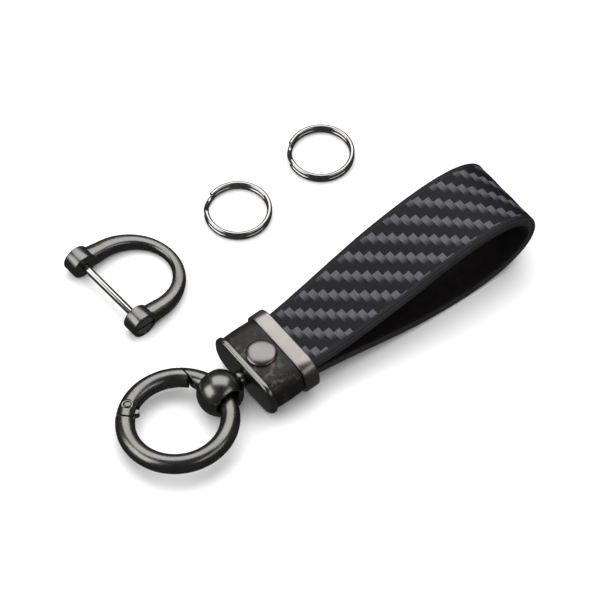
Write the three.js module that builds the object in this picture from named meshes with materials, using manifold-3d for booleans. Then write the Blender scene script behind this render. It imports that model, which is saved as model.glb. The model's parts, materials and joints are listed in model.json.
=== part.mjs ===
import * as THREE from 'three';
import { mergeVertices } from 'three/addons/utils/BufferGeometryUtils.js';
import Module from 'manifold-3d';

const wasm = await Module();
wasm.setup();

// Driving sizes, millimetres and degrees.
const ringOuterRadius = 17.7;    // round spring ring, outside
const wireRadius = 2.84;         // round section of the spring ring
const ringSlope = 2.0;           // the ring lies this much lower away from the ball
const swivelRoll = -3.3;         // the swivel is turned this much about the strap's axis
const beadRadius = 6.8;          // ball that joins the ring to the strap
const beadGap = 1.4;             // ball to end cap
const capWidth = 27.6;           // end cap across the strap
const capHeight = 12.5;          // end cap through the strap
const plateThickness = 1.8;      // front of the end cap
const tubeWall = 1.2;            // sleeve of the end cap, under the wrap and the band
const clampLength = 16.7;        // end cap face to the strap side of the keeper band
const bandLength = 4.7;          // keeper band along the strap
const strapWidth = 25.9;         // strap at its fold
const leafThickness = 3.2;       // one leaf: face leather, core and lining
const leafGap = 0.2;             // between the leaves in the clamp
const leafEdge = 1.1;            // rounding of the leaf's edges
const loopLength = 78.3;         // keeper band to the fold
const loopRise = 30.3;           // sets how far the two leaves spread
const loopShape = 1.558;         // sets where they spread
const foldLift = 1.28;           // the fold sits above the middle of the clamp
const rivetRadius = 4.5;
const rivetPlace = 6.8;          // rivet centre from the end cap face
const rivetShank = 1.9;
const stemRadius = 1.85;         // swivel stem
const shackleSpan = 22.6;        // between the lugs of the D-shackle
const lugRadius = 4.15;
const lugLength = 5.0;
const bowReach = 7.7;            // pin axis to the centre of the bow
const bowDepth = 14.6;           // centre of the bow to its far end
const bowWire = 1.66;            // half thickness at the middle of the bow
const bowRoot = 2.88;            // half thickness at the lugs
const shacklePinRadius = 1.1;
const splitRingRadius = 10.05;   // outside of a split ring
const splitWireRadius = 0.72;
const boreClear = 0.25;          // spring ring in the ball's bore
const pinClear = 0.15;           // turning pins in their holes
const layerGap = 0.06;           // between bonded or pressed layers

// Where the loose pieces lie: the end cap face centre is the start, +X along the strap.
const shacklePlace = [-11.36, 49.25];
const shackleTurn = 3.3;
const splitPlaces = [[36.7, 51.8], [69.0, 53.9]];
const splitTurns = [150, 165];

// Sizes that follow from those above.
const ringRadius = ringOuterRadius - wireRadius;
const leafCentre = (leafThickness + leafGap) / 2;
const rivetHoleRadius = rivetShank + 0.2;
const strapWaist = capWidth - 5.8;
const cavity = [strapWaist + 0.6, 2 * leafThickness + leafGap + 0.3];
const tube = [cavity[0] + 2 * tubeWall, cavity[1] + 2 * tubeWall];
const overTube = [tube[0] + 0.16, tube[1] + 0.16];
const wrap = [capWidth - 0.9, Math.max(capHeight - 0.8, tube[1] + 0.8)];
const band = [capWidth + 0.6, Math.max(capHeight - 0.4, tube[1] + 1.2)];
const capCorner = capHeight * 0.43;
const tubeCorner = tube[1] * 0.43;
const cavityCorner = 1.2;
const strapEnd = plateThickness + 2.1;
const beadPlace = -(beadRadius + beadGap);
const beadHalf = beadRadius * 0.69;
const radians = THREE.MathUtils.degToRad;
const quarter = Math.PI / 2;

const circle = (radius, count, turn = 0) => Array.from({ length: count }, (_, i) => {
  const a = turn + (2 * Math.PI * i) / count;
  return [radius * Math.cos(a), radius * Math.sin(a)];
});

function roundedRect(width, height, corner, steps = 7) {
  const r = Math.min(corner, width / 2 - 0.01, height / 2 - 0.01);
  const points = [];
  for (const [sx, sy, start] of [[1, 1, 0], [-1, 1, 90], [-1, -1, 180], [1, -1, 270]]) {
    for (let k = 0; k <= steps; k++) {
      const a = radians(start + (90 * k) / steps);
      points.push([sx * (width / 2 - r) + r * Math.cos(a), sy * (height / 2 - r) + r * Math.sin(a)]);
    }
  }
  return points;
}

// Skin over a row of loops with the same number of points.
function loft(loops, closed = false) {
  const n = loops[0].length;
  const position = [];
  const index = [];
  for (const loop of loops) for (const p of loop) position.push(p[0], p[1], p[2]);
  const rows = closed ? loops.length : loops.length - 1;
  for (let i = 0; i < rows; i++) {
    const a = i * n;
    const b = ((i + 1) % loops.length) * n;
    for (let j = 0; j < n; j++) {
      const k = (j + 1) % n;
      index.push(a + j, a + k, b + k, a + j, b + k, b + j);
    }
  }
  if (!closed) {
    const last = (loops.length - 1) * n;
    for (let j = 1; j < n - 1; j++) {
      index.push(0, j + 1, j);
      index.push(last, last + j, last + j + 1);
    }
  }
  let volume = 0;
  for (let i = 0; i < index.length; i += 3) {
    const [a, b, c] = [0, 1, 2].map((k) => new THREE.Vector3().fromArray(position, 3 * index[i + k]));
    volume += a.dot(b.cross(c));
  }
  if (volume < 0) for (let i = 0; i < index.length; i += 3) [index[i], index[i + 1]] = [index[i + 1], index[i]];
  const geometry = new THREE.BufferGeometry();
  geometry.setAttribute('position', new THREE.Float32BufferAttribute(position, 3));
  geometry.setIndex(index);
  return geometry;
}

function toSolid(geometry) {
  const bare = geometry.clone();
  bare.deleteAttribute('normal');
  bare.deleteAttribute('uv');
  const merged = mergeVertices(bare, 1e-5);
  const triangles = [];
  for (let i = 0; i < merged.index.count; i += 3) {
    const [a, b, c] = [0, 1, 2].map((k) => merged.index.getX(i + k));
    if (a !== b && b !== c && c !== a) triangles.push(a, b, c);  // none on a lathe's poles
  }
  return new wasm.Manifold(new wasm.Mesh({
    numProp: 3,
    vertProperties: Float32Array.from(merged.attributes.position.array),
    triVerts: Uint32Array.from(triangles),
  }));
}

function toGeometry(solid) {
  const mesh = solid.getMesh();
  const geometry = new THREE.BufferGeometry();
  geometry.setAttribute('position', new THREE.Float32BufferAttribute(mesh.vertProperties, 3));
  geometry.setIndex(Array.from(mesh.triVerts));
  return geometry;
}

// Turned about Y from [radius, height] pairs, bottom to top; a hollow one comes back down its bore.
function turned(profile, sides = 32, hollow = false) {
  const ends = hollow
    ? [...profile, profile[0]]
    : [[0, profile[0][1]], ...profile, [0, profile[profile.length - 1][1]]];
  return new THREE.LatheGeometry(ends.map(([r, y]) => new THREE.Vector2(r, y)), sides);
}

const rod = (radius, from, to, sides = 32) => turned([[radius, from], [radius, to]], sides);
const rodX = (...sizes) => rod(...sizes).rotateZ(-quarter);
const rodZ = (...sizes) => rod(...sizes).rotateX(quarter);

function prism(points, from, to) {
  const shape = new THREE.Shape(points.map(([x, y]) => new THREE.Vector2(x, y)));
  return new THREE.ExtrudeGeometry(shape, { depth: to - from, bevelEnabled: false, steps: 1 }).translate(0, 0, from);
}

// Strap: the two leaves leave the clamp flat, spread to a teardrop and meet at the fold.
function centreLine() {
  const half = [];
  for (let i = 0; i <= 240; i++) {
    const u = (i / 240) * quarter;
    half.push([
      clampLength + loopLength * Math.sin(u) ** 2,
      (loopRise * Math.sin(u) ** (2 * loopShape) + leafCentre) * Math.cos(u),
      foldLift * Math.sin(u) ** 6,
    ]);
  }
  const side = (sign) => [
    [strapEnd, sign * leafCentre],
    [(strapEnd + clampLength) / 2, sign * leafCentre],
    ...half.map(([x, z, lift]) => [x, sign * z + lift]),
  ];
  return [...side(-1), ...side(1).slice(0, -1).reverse()];
}

function evenly(path, count) {
  const reach = [0];
  for (let i = 1; i < path.length; i++) {
    reach.push(reach[i - 1] + Math.hypot(path[i][0] - path[i - 1][0], path[i][1] - path[i - 1][1]));
  }
  const total = reach[reach.length - 1];
  const points = [];
  let k = 0;
  for (let i = 0; i < count; i++) {
    const s = (total * i) / (count - 1);
    while (k < path.length - 2 && reach[k + 1] < s) k++;
    const f = (s - reach[k]) / (reach[k + 1] - reach[k]);
    points.push([0, 1].map((c) => path[k][c] + f * (path[k + 1][c] - path[k][c])));
  }
  return points;
}

const strapLine = evenly(centreLine(), 117);
const strapNormal = strapLine.map((_, i) => {
  const a = strapLine[Math.max(i - 1, 0)];
  const b = strapLine[Math.min(i + 1, strapLine.length - 1)];
  const length = Math.hypot(b[0] - a[0], b[1] - a[1]);
  return [(b[1] - a[1]) / length, -(b[0] - a[0]) / length];
});

function halfWidthAt(x) {
  const t = THREE.MathUtils.clamp((x - clampLength) / loopLength, 0, 1);
  return strapWidth / 2 - ((strapWidth - strapWaist) / 2) * Math.max(1 - t / 0.5, 0) ** 1.5;
}

// One layer of the strap between two offsets from the middle of the leaf, outward positive.
function layer(inner, outer, steps) {
  const inset = (offset) => {
    const past = Math.abs(offset) - (leafThickness / 2 - leafEdge);
    return past <= 0 ? 0 : leafEdge - Math.sqrt(Math.max(leafEdge ** 2 - past ** 2, 0));
  };
  const rise = Array.from({ length: steps + 1 }, (_, i) => {
    const f = (i / steps) * quarter;
    const eased = Math.abs(outer) > Math.abs(inner) ? Math.sin(f) : 1 - Math.cos(f);
    return inner + (outer - inner) * eased;
  });
  const loops = strapLine.map(([x, z], i) => {
    const [nx, nz] = strapNormal[i];
    const half = halfWidthAt(x);
    const side = rise.map((offset) => [half - inset(offset), offset]);
    const section = [...side, ...side.slice().reverse().map(([y, offset]) => [-y, offset])];
    return section.map(([y, offset]) => [x + nx * offset, y, z + nz * offset]);
  });
  return loft(loops);
}

// The strap is pitched so that the ball and the loop both rest on the same plane.
let strapPitch = 0;
for (let low = 0, high = 0.4, i = 0; i < 50; i++) {
  strapPitch = (low + high) / 2;
  const axisHeight = beadRadius - beadPlace * Math.sin(strapPitch);
  const lowest = Math.min(...strapLine.map(([x, z], k) => {
    const px = x + strapNormal[k][0] * (leafThickness / 2);
    const pz = z + strapNormal[k][1] * (leafThickness / 2);
    return axisHeight + px * Math.sin(strapPitch) + pz * Math.cos(strapPitch);
  }));
  if (lowest < 0) low = strapPitch; else high = strapPitch;
}
const capFaceHeight = beadRadius - beadPlace * Math.sin(strapPitch);

const rivetHole = toSolid(rodZ(rivetHoleRadius, -capHeight, capHeight).translate(rivetPlace, 0, 0));
const riveted = (geometry) => toGeometry(toSolid(geometry).subtract(rivetHole));

const faceInner = leafThickness * 0.19;
const liningInner = -leafThickness * 0.22;
const strapFace = riveted(layer(faceInner, leafThickness / 2, 4));
const strapCore = riveted(layer(liningInner + layerGap, faceInner - layerGap, 1));
const strapLining = riveted(layer(liningInner, -leafThickness / 2, 3));

// Outlines across the strap, at x, and the outlines of a block with both ends rounded over.
const outline = (x, [width, height], corner, inset = 0) =>
  roundedRect(width - 2 * inset, height - 2 * inset, corner - inset).map(([y, z]) => [x, y, z]);

function roundedBlock(from, to, size, corner, endRound) {
  const round = [[0, 1], [0.35, 0.35], [1, 0]];
  return [
    ...round.map(([depth, inset]) => outline(from + depth * endRound, size, corner, inset * endRound)),
    ...round.reverse().map(([depth, inset]) => outline(to - depth * endRound, size, corner, inset * endRound)),
  ];
}

const endRound = 0.5;
const sleeveEnd = clampLength - 0.5;
const endCap = toSolid(loft([
  ...roundedBlock(0, plateThickness, [capWidth, capHeight], capCorner, endRound),
  outline(plateThickness, tube, tubeCorner),
  outline(sleeveEnd, tube, tubeCorner),
  outline(sleeveEnd, cavity, cavityCorner),
  outline(plateThickness, cavity, cavityCorner),
]));
const stemHole = toSolid(rodX(stemRadius + pinClear, -1, plateThickness + 1));
const endCapGeometry = toGeometry(endCap.subtract(stemHole).subtract(rivetHole));

const seamGap = 0.08;
const bandFrom = clampLength - bandLength;
const wrapFrom = plateThickness + seamGap;
const wrapTo = bandFrom - seamGap;
const wrapGeometry = riveted(loft([
  ...roundedBlock(wrapFrom, wrapTo, wrap, capHeight * 0.42, endRound),
  outline(wrapTo, overTube, tubeCorner + seamGap),
  outline(wrapFrom, overTube, tubeCorner + seamGap),
], true));
const bandGeometry = loft([
  ...roundedBlock(bandFrom, clampLength, band, capCorner, endRound),
  outline(clampLength, overTube, tubeCorner + seamGap),
  outline(bandFrom, overTube, tubeCorner + seamGap),
], true);

// Rivet, its axis along Y from the middle of the strap: a domed head over the wrap and a cap below.
const rivetSeat = wrap[1] / 2 + layerGap;
const domeShares = [[1, 0.4], [0.93, 0.72], [0.78, 0.98], [0.52, 1.2], [0.24, 1.3]];
const rivetPost = turned([
  [rivetShank, -rivetSeat - 0.45], [rivetShank, rivetSeat], [rivetRadius - 0.15, rivetSeat],
  [rivetRadius, rivetSeat + 0.15], ...domeShares.map(([share, rise]) => [rivetRadius * share, rivetSeat + rise]),
], 36);
const backRadius = rivetRadius * 0.93;
const rivetBack = toGeometry(toSolid(turned([
  [backRadius * 0.86, -rivetSeat - 0.9], [backRadius * 0.96, -rivetSeat - 0.78],
  [backRadius, -rivetSeat - 0.55], [backRadius, -rivetSeat],
], 36)).subtract(toSolid(rod(rivetHoleRadius, -rivetSeat - 0.6, -rivetSeat + 1))));

// Swivel: a headed stem through the end cap, fixed in the ball. The turned pieces have their axis
// along Y here, with +Y towards the strap.
const stemTip = beadPlace + wireRadius + boreClear + 0.7;
const headRadius = Math.min(3.0, cavity[1] / 2 - 0.4);
const headSeat = plateThickness + 0.62;
const stem = turned([
  [stemRadius, stemTip], [stemRadius, headSeat], [headRadius, headSeat],
  [headRadius, headSeat + 0.68], [headRadius - 0.3, headSeat + 0.98],
]);
const washerRadius = headRadius + 0.1;
const washer = turned([
  [washerRadius, plateThickness + 0.1], [washerRadius, headSeat - 0.12],
  [stemRadius + pinClear, headSeat - 0.12], [stemRadius + pinClear, plateThickness + 0.1],
], 32, true);
const collarRadius = stemRadius + 0.8;
const collarFrom = beadPlace + beadRadius * 0.9;
const seatBall = new THREE.SphereGeometry(beadRadius + seamGap, 32, 20).translate(0, beadPlace, 0);
const collar = toGeometry(toSolid(turned([
  [collarRadius, collarFrom], [collarRadius, -0.4], [collarRadius - 0.2, -0.2],
  [stemRadius + pinClear, -0.2], [stemRadius + pinClear, collarFrom],
], 32, true)).subtract(toSolid(seatBall)));

// The ball's bore, along Y, opens out both ways so that the curved ring turns freely in it.
const boreAt = (y) => wireRadius + boreClear + ringRadius - Math.sqrt(ringRadius ** 2 - y ** 2);
const openAngle = Math.asin(beadHalf / beadRadius);
const rimRadius = beadRadius * Math.cos(openAngle) - 0.42;
const flareFrom = 0.6;
const beadProfile = [];
for (let i = 0; i <= 12; i++) {
  const a = openAngle * (i / 6 - 1);
  beadProfile.push([beadRadius * Math.cos(a), beadRadius * Math.sin(a)]);
}
for (let i = 0; i <= 8; i++) {
  const y = beadHalf * (1 - i / 4);
  const past = Math.max(Math.abs(y) / beadHalf - flareFrom, 0) / (1 - flareFrom);
  beadProfile.push([boreAt(y) + (rimRadius - boreAt(beadHalf)) * past ** 2, y]);
}
const stemSocket = toSolid(rodX(stemRadius + 0.1, stemTip - beadPlace - 0.1, beadRadius + 2));
const bead = toGeometry(toSolid(turned(beadProfile, 40, true)).subtract(stemSocket));

// Spring ring in its own plane: centre at zero, the ball at +X, the gate on the +Y side.
const ringSteps = 88;
const torus = toSolid(loft(Array.from({ length: ringSteps }, (_, i) => {
  const a = (2 * Math.PI * i) / ringSteps;
  return circle(wireRadius, 20).map(([r, z]) => [(ringRadius + r) * Math.cos(a), (ringRadius + r) * Math.sin(a), z]);
}), true));
const pinAngle = 125.5;
const pinCentre = [ringRadius * Math.cos(radians(pinAngle)), ringRadius * Math.sin(radians(pinAngle))];
const cutX = ringRadius * 0.713;
const cutGap = 0.3;
const tipAngle = radians(41);
const tongueHalf = wireRadius * 0.37;
const hingePinRadius = wireRadius * 0.387;
const tongueRadius = wireRadius * 0.88;
const slotRadius = wireRadius + 0.12;
const heelRadius = wireRadius * 1.373;
const shoulderRadius = heelRadius + 0.3;
const through = 3 * wireRadius;
const beyond = ringOuterRadius + 2 * wireRadius;
const about = (points) => points.map(([x, y]) => [x + pinCentre[0], y + pinCentre[1]]);
const disc = (radius, from = -through, to = through) => toSolid(prism(about(circle(radius, 48)), from, to));
const ray = (degrees, length) => [length * Math.cos(radians(degrees)), length * Math.sin(radians(degrees))];
const fan = (from, to, length, half) => {
  const points = [[0, 0]];
  for (let i = 0; i <= 6; i++) points.push(ray(from + ((to - from) * i) / 6, length));
  return toSolid(prism(about(points), -half, half));
};
const bodyEnd = cutX + cutGap / 2;
const gateEnd = cutX - cutGap / 2;
const bodyTake = toSolid(prism([
  [pinCentre[0], wireRadius], [bodyEnd, wireRadius], [bodyEnd, beyond], [pinCentre[0], beyond],
], -through, through)).add(disc(shoulderRadius));
const gateZone = toSolid(prism([
  [pinCentre[0], 0], [0, 0], [gateEnd, gateEnd * Math.tan(tipAngle)], [gateEnd, beyond], [pinCentre[0], beyond],
], -through, through)).add(disc(heelRadius));
const toBody = pinAngle + 90;
const nubCentre = ray(toBody + 75, wireRadius * 1.16);
const nubPoints = circle(wireRadius * 0.32, 20).map(([x, y]) => [x + nubCentre[0], y + nubCentre[1]]);
const nub = toSolid(prism(about(nubPoints), -tongueHalf, tongueHalf));
const tongueRoot = fan(toBody - 90, toBody + 90, shoulderRadius + 0.8, tongueHalf)
  .intersect(disc(shoulderRadius + 0.7));
const tongue = torus.intersect(disc(tongueRadius, -tongueHalf, tongueHalf).add(tongueRoot)).add(nub);
const ringBody = torus.subtract(bodyTake).add(tongue).subtract(disc(hingePinRadius + layerGap));

// The plunger's bore runs into the gate from the hinge, along a chord of the ring.
const slotHalf = tongueHalf + 0.12;
const chordTurn = THREE.MathUtils.radToDeg(Math.asin((wireRadius * 3.2) / (2 * ringRadius)));
const boreAngle = radians(pinAngle - 90 - chordTurn);
const boreEnd = wireRadius * 3.17;
const sinkFrom = wireRadius * 0.83;
const plungerBore = rodX(wireRadius * 0.35, wireRadius * 0.7, boreEnd, 24)
  .rotateZ(boreAngle).translate(...pinCentre, 0);
const ringGate = torus.intersect(gateZone)
  .subtract(disc(slotRadius, -slotHalf, slotHalf))
  .subtract(fan(toBody - 90, toBody + 121, ringRadius, slotHalf))
  .subtract(disc(hingePinRadius + pinClear))
  .subtract(disc(hingePinRadius + 0.5, sinkFrom, through))
  .subtract(disc(hingePinRadius + 0.5, -through, -sinkFrom))
  .subtract(toSolid(plungerBore));
const hingePinEnd = wireRadius * 0.97;
const hingePin = turned([
  [hingePinRadius - 0.15, -hingePinEnd], [hingePinRadius, 0.15 - hingePinEnd],
  [hingePinRadius, hingePinEnd - 0.15], [hingePinRadius - 0.15, hingePinEnd],
], 28);
const plungerFrom = tongueRadius + 0.12;
const plungerLength = 1.6;
const plunger = turned([
  [wireRadius * 0.2, plungerFrom], [wireRadius * 0.28, plungerFrom + 0.25],
  [wireRadius * 0.28, plungerFrom + plungerLength],
], 20);
const springFrom = plungerFrom + plungerLength + 0.25;
const springTo = boreEnd - 0.25;
const springTurns = 6;
const springLoops = [];
for (let i = 0; i <= 72; i++) {
  const a = (2 * Math.PI * springTurns * i) / 72;
  const height = springFrom + ((springTo - springFrom) * i) / 72;
  springLoops.push(circle(wireRadius * 0.06, 6).map(([u, v]) => {
    const r = wireRadius * 0.22 + u;
    return [r * Math.sin(a), height + v, r * Math.cos(a)];
  }));
}
const gateSpring = loft(springLoops);

// D-shackle: the pin lies along Y, the bow bulges to +X and rests on its far edge.
const lugMid = shackleSpan / 2 + lugLength / 2;
const bowInset = 0.3;
const bowHalf = lugMid - bowInset;
const bowPath = [];
for (let i = 0; i <= 5; i++) bowPath.push([(bowReach * i) / 6, -lugMid + (bowInset * i) / 6, i / 30]);
for (let i = 0; i <= 32; i++) {
  const a = radians(-90 + (180 * i) / 32);
  bowPath.push([bowReach + bowDepth * Math.cos(a), bowHalf * Math.sin(a), 0.2 + (0.6 * i) / 32]);
}
for (let i = 5; i >= 0; i--) bowPath.push([(bowReach * i) / 6, lugMid - (bowInset * i) / 6, 1 - i / 30]);
const bowThickness = (t) => bowWire + (bowRoot - bowWire) * Math.abs(Math.cos(Math.PI * t)) ** 1.5;
const squareness = 0.35;
const flatAt = 1.08;             // the section is a circle drawn out to slight flats
const bowLoops = bowPath.map(([x, y, t], i) => {
  const a = bowPath[Math.max(i - 1, 0)];
  const b = bowPath[Math.min(i + 1, bowPath.length - 1)];
  const length = Math.hypot(b[0] - a[0], b[1] - a[1]);
  const [nx, ny] = [(b[1] - a[1]) / length, -(b[0] - a[0]) / length];
  return circle(1, 16, Math.PI / 16).map(([u, v]) => {
    const square = 1 / Math.max(Math.abs(u), Math.abs(v)) ** squareness;
    const k = bowThickness(t) * Math.min(square, flatAt);
    return [x + nx * u * k, y + ny * u * k, v * k];
  });
});
const outerFace = shackleSpan / 2 + lugLength;
const lug = turned([
  [lugRadius - 0.25, shackleSpan / 2], [lugRadius, shackleSpan / 2 + 0.25],
  [lugRadius, outerFace - 1.0], [lugRadius - 0.15, outerFace - 0.5], [lugRadius - 0.5, outerFace],
], 36);
const otherLug = lug.clone().rotateX(Math.PI);
const headRadiusOfPin = lugRadius * 0.75;
const headDepthOfPin = lugLength * 0.3;
const pinEnd = outerFace - lugLength * 0.28;
const shackleBody = toSolid(loft(bowLoops)).add(toSolid(lug)).add(toSolid(otherLug))
  .subtract(toSolid(rod(shacklePinRadius + pinClear, -outerFace - 1, pinEnd, 28)))
  .subtract(toSolid(rod(headRadiusOfPin + pinClear, -outerFace - 1, headDepthOfPin + pinClear - outerFace, 36)));
const driverSlot = new THREE.BoxGeometry(headRadiusOfPin * 2.4, 1.4, headRadiusOfPin * 0.3).translate(0, -outerFace, 0);
const screwPin = toSolid(turned([
  [headRadiusOfPin - 0.15, 0.1 - outerFace], [headRadiusOfPin, 0.25 - outerFace],
  [headRadiusOfPin, headDepthOfPin - outerFace], [shacklePinRadius, headDepthOfPin - outerFace],
  [shacklePinRadius, pinEnd - 0.5], [shacklePinRadius - 0.3, pinEnd - 0.2],
])).subtract(toSolid(driverSlot));
const shackleTilt = Math.min(...bowPath.slice(6, -6).map(([x, , t]) =>
  Math.asin((lugRadius - bowThickness(t) * flatAt) / x)));

// Split ring: two close turns with a step where one crosses to the other.
function splitRing() {
  const radius = splitRingRadius - splitWireRadius;
  const pitch = 2 * splitWireRadius + 0.07;
  const ramp = 0.5;
  const gap = (2.6 * splitWireRadius) / radius;
  const end = 4 * Math.PI - ramp - gap;
  const steps = 88;
  const loops = [];
  for (let i = 0; i <= steps; i++) {
    const a = (end * i) / steps;
    const f = THREE.MathUtils.clamp((a - (2 * Math.PI - ramp)) / ramp, 0, 1);
    const rise = f * f * (3 - 2 * f) * pitch;
    loops.push(circle(splitWireRadius, 10).map(([u, v]) => [
      (radius + u) * Math.cos(a), (radius + u) * Math.sin(a), splitWireRadius + rise + v,
    ]));
  }
  return loft(loops);
}

const material = (color, roughness, metalness) => new THREE.MeshStandardMaterial({ color, roughness, metalness });
const gunmetal = () => material('#3c3a39', 0.28, 1);
const satinMetal = () => material('#8d8783', 0.38, 1);
const steel = () => material('#a5a09c', 0.18, 1);
const leather = (color, roughness) => material(color, roughness, 0);

function piece(name, geometry, look, parent) {
  const shown = geometry.index ? geometry.toNonIndexed() : geometry;
  shown.computeVertexNormals();
  const mesh = new THREE.Mesh(shown, look);
  mesh.name = name;
  parent.add(mesh);
  return mesh;
}

function group(name, parent) {
  const made = new THREE.Group();
  made.name = name;
  parent.add(made);
  return made;
}

const root = new THREE.Group();
root.name = 'key_organiser';

const strap = group('strap', root);
strap.position.z = capFaceHeight;
strap.rotation.y = -strapPitch;
piece('strap_face_leather', strapFace, leather('#2c2b2f', 0.55), strap);
piece('strap_core', strapCore, leather('#3a393b', 0.5), strap);
piece('strap_lining', strapLining, leather('#130b0c', 0.85), strap);
piece('end_cap', endCapGeometry, gunmetal(), strap);
piece('clamp_wrap', wrapGeometry, leather('#191816', 0.5), strap);
piece('keeper_band', bandGeometry, satinMetal(), strap);

const rivet = group('rivet', strap);
rivet.position.x = rivetPlace;
rivet.rotation.x = quarter;
piece('rivet_post', rivetPost, satinMetal(), rivet);
piece('rivet_back_cap', rivetBack, satinMetal(), rivet);

const swivel = group('swivel', strap);
swivel.rotation.x = radians(swivelRoll);
const swivelPin = group('swivel_pin', swivel);
swivelPin.rotation.z = -quarter;
piece('swivel_stem', stem, steel(), swivelPin);
piece('swivel_washer', washer, steel(), swivelPin);
piece('swivel_collar', collar, gunmetal(), swivelPin);
const ball = group('ball', swivel);
ball.position.x = beadPlace;
piece('swivel_bead', bead, gunmetal(), ball);

const springRing = group('spring_ring', ball);
springRing.rotation.y = strapPitch - radians(ringSlope);
const ringPlane = group('ring_plane', springRing);
ringPlane.position.x = -ringRadius;
piece('ring_body', toGeometry(ringBody), gunmetal(), ringPlane);
piece('ring_gate', toGeometry(ringGate), gunmetal(), ringPlane);
const gateHinge = group('gate_hinge', ringPlane);
gateHinge.position.set(...pinCentre, 0);
piece('gate_hinge_pin', hingePin, steel(), gateHinge).rotation.x = quarter;
piece('gate_plunger', plunger, steel(), gateHinge).rotation.z = boreAngle - quarter;
piece('gate_spring', gateSpring, steel(), gateHinge).rotation.z = boreAngle - quarter;

const shackle = group('shackle', root);
shackle.position.set(...shacklePlace, lugRadius);
shackle.rotation.set(0, shackleTilt, radians(shackleTurn), 'ZYX');
piece('shackle_body', toGeometry(shackleBody), gunmetal(), shackle);
piece('shackle_screw_pin', toGeometry(screwPin), steel(), shackle);

for (const [i, name] of ['split_ring_1', 'split_ring_2'].entries()) {
  const mesh = piece(name, splitRing(), steel(), root);
  mesh.position.set(...splitPlaces[i], 0);
  mesh.rotation.z = radians(splitTurns[i]);
}

// The set's origin is the middle of the underside of its box.
const whole = new THREE.Box3().setFromObject(root, true);
const middle = whole.getCenter(new THREE.Vector3());
for (const child of root.children) child.position.sub(new THREE.Vector3(middle.x, middle.y, whole.min.z));

export default root;
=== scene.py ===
import json
from math import asin, atan2, ceil, cos, floor, pi, radians, sin, sqrt

import bmesh
import bpy
from mathutils import Matrix, Vector


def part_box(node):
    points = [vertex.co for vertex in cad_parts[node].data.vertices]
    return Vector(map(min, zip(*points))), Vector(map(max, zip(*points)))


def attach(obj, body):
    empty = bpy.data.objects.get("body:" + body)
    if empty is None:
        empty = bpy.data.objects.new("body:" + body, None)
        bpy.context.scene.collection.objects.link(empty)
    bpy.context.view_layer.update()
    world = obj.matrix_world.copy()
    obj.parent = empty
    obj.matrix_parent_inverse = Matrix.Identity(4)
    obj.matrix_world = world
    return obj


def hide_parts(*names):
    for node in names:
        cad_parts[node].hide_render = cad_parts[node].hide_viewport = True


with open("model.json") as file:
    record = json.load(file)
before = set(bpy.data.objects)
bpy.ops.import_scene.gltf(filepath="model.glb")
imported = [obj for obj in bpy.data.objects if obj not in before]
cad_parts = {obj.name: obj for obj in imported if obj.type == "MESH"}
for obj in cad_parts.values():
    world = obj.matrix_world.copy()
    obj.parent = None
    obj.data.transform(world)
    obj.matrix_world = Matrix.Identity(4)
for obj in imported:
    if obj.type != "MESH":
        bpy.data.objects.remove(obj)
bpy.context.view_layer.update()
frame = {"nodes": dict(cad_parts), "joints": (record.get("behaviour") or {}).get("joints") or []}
joints = {joint["name"]: joint for joint in frame["joints"]}
mm = 0.001
throughAll = 9  # half the length of a cutter that goes right through, mm
print("frame loaded")


def placeFrame(origin, along, up):
    # from a piece's own millimetres to the frame: X along, Z towards up
    x = Vector(along).normalized()
    z = Vector(up)
    z = (z - z.dot(x) * x).normalized()
    turn = Matrix((x, z.cross(x), z)).transposed().to_4x4()
    return Matrix.Translation(origin) @ turn @ Matrix.Scale(mm, 4)


ring = {
    "radius": 14.86,  # to the middle of the wire
    "wire": 2.84,
    "pinAngle": 125.5,  # hinge pin, degrees round from the ball
    "bodyCut": 10.78,  # the body's stub ends here
    "gateCut": 10.36,  # and the gate's tip here
    "tipAngle": 41.0,
    "bodyTo": 416,  # the body's wire runs from the pin to here, past the ball, before it is trimmed
    "gateTo": 152,
    "tongueRun": 22,
    "tongueInset": 0.05,
    "endEase": 0.3,
    "hingeEase": 0.09,
    "shoulder": 4.42,  # hollow round the pin in the body
    "heel": 3.87,  # round end of the gate
    "tongueHalf": 1.05,
    "tongueRadius": 2.5,
    "slotHalf": 1.17,
    "slotRadius": 2.96,
    "pinRadius": 1.1,
    "pinHoleRadius": 1.25,
    "sinkRadius": 1.6,  # countersink round each pin head
    "sinkFrom": 2.36,
    "nubRadius": 0.78,
    "nubReach": 3.0,
    "nubAngle": 290.5,
    "boreRadius": 0.99,  # plunger bore inside the gate
    "boreFrom": 1.99,
    "boreTo": 9.0,
    "boreAngle": 17.7,
    "sides": 48,
    "degreesPerStep": 1.8,
}
clampFace = Vector(joints["swivel_turn"]["pos_m"])
strapAxis = Vector(joints["swivel_turn"]["axis"])
ballAxis = Vector(joints["ring_tilt"]["axis"])
ringUp = -Vector(joints["gate_open"]["axis"])
ringAlong = ballAxis.cross(ringUp).normalized()
ringMiddle = Vector(joints["ring_tilt"]["pos_m"]) - ringAlong * ring["radius"] * mm
strapFrame = placeFrame(clampFace, strapAxis, (0, 0, 1))
swivelFrame = placeFrame(clampFace, strapAxis, strapAxis.cross(ballAxis))
ringFrame = placeFrame(ringMiddle, ringAlong, ringUp)


def edgesOpen(bm):
    return [edge for edge in bm.edges if len(edge.link_faces) == 1]


def closeUp(bm, distance=0.0005):
    # seams and poles closed, faces outward
    bmesh.ops.remove_doubles(bm, verts=bm.verts, dist=distance)
    bmesh.ops.holes_fill(bm, edges=edgesOpen(bm), sides=0)
    bmesh.ops.recalc_face_normals(bm, faces=bm.faces)
    return bm


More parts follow.
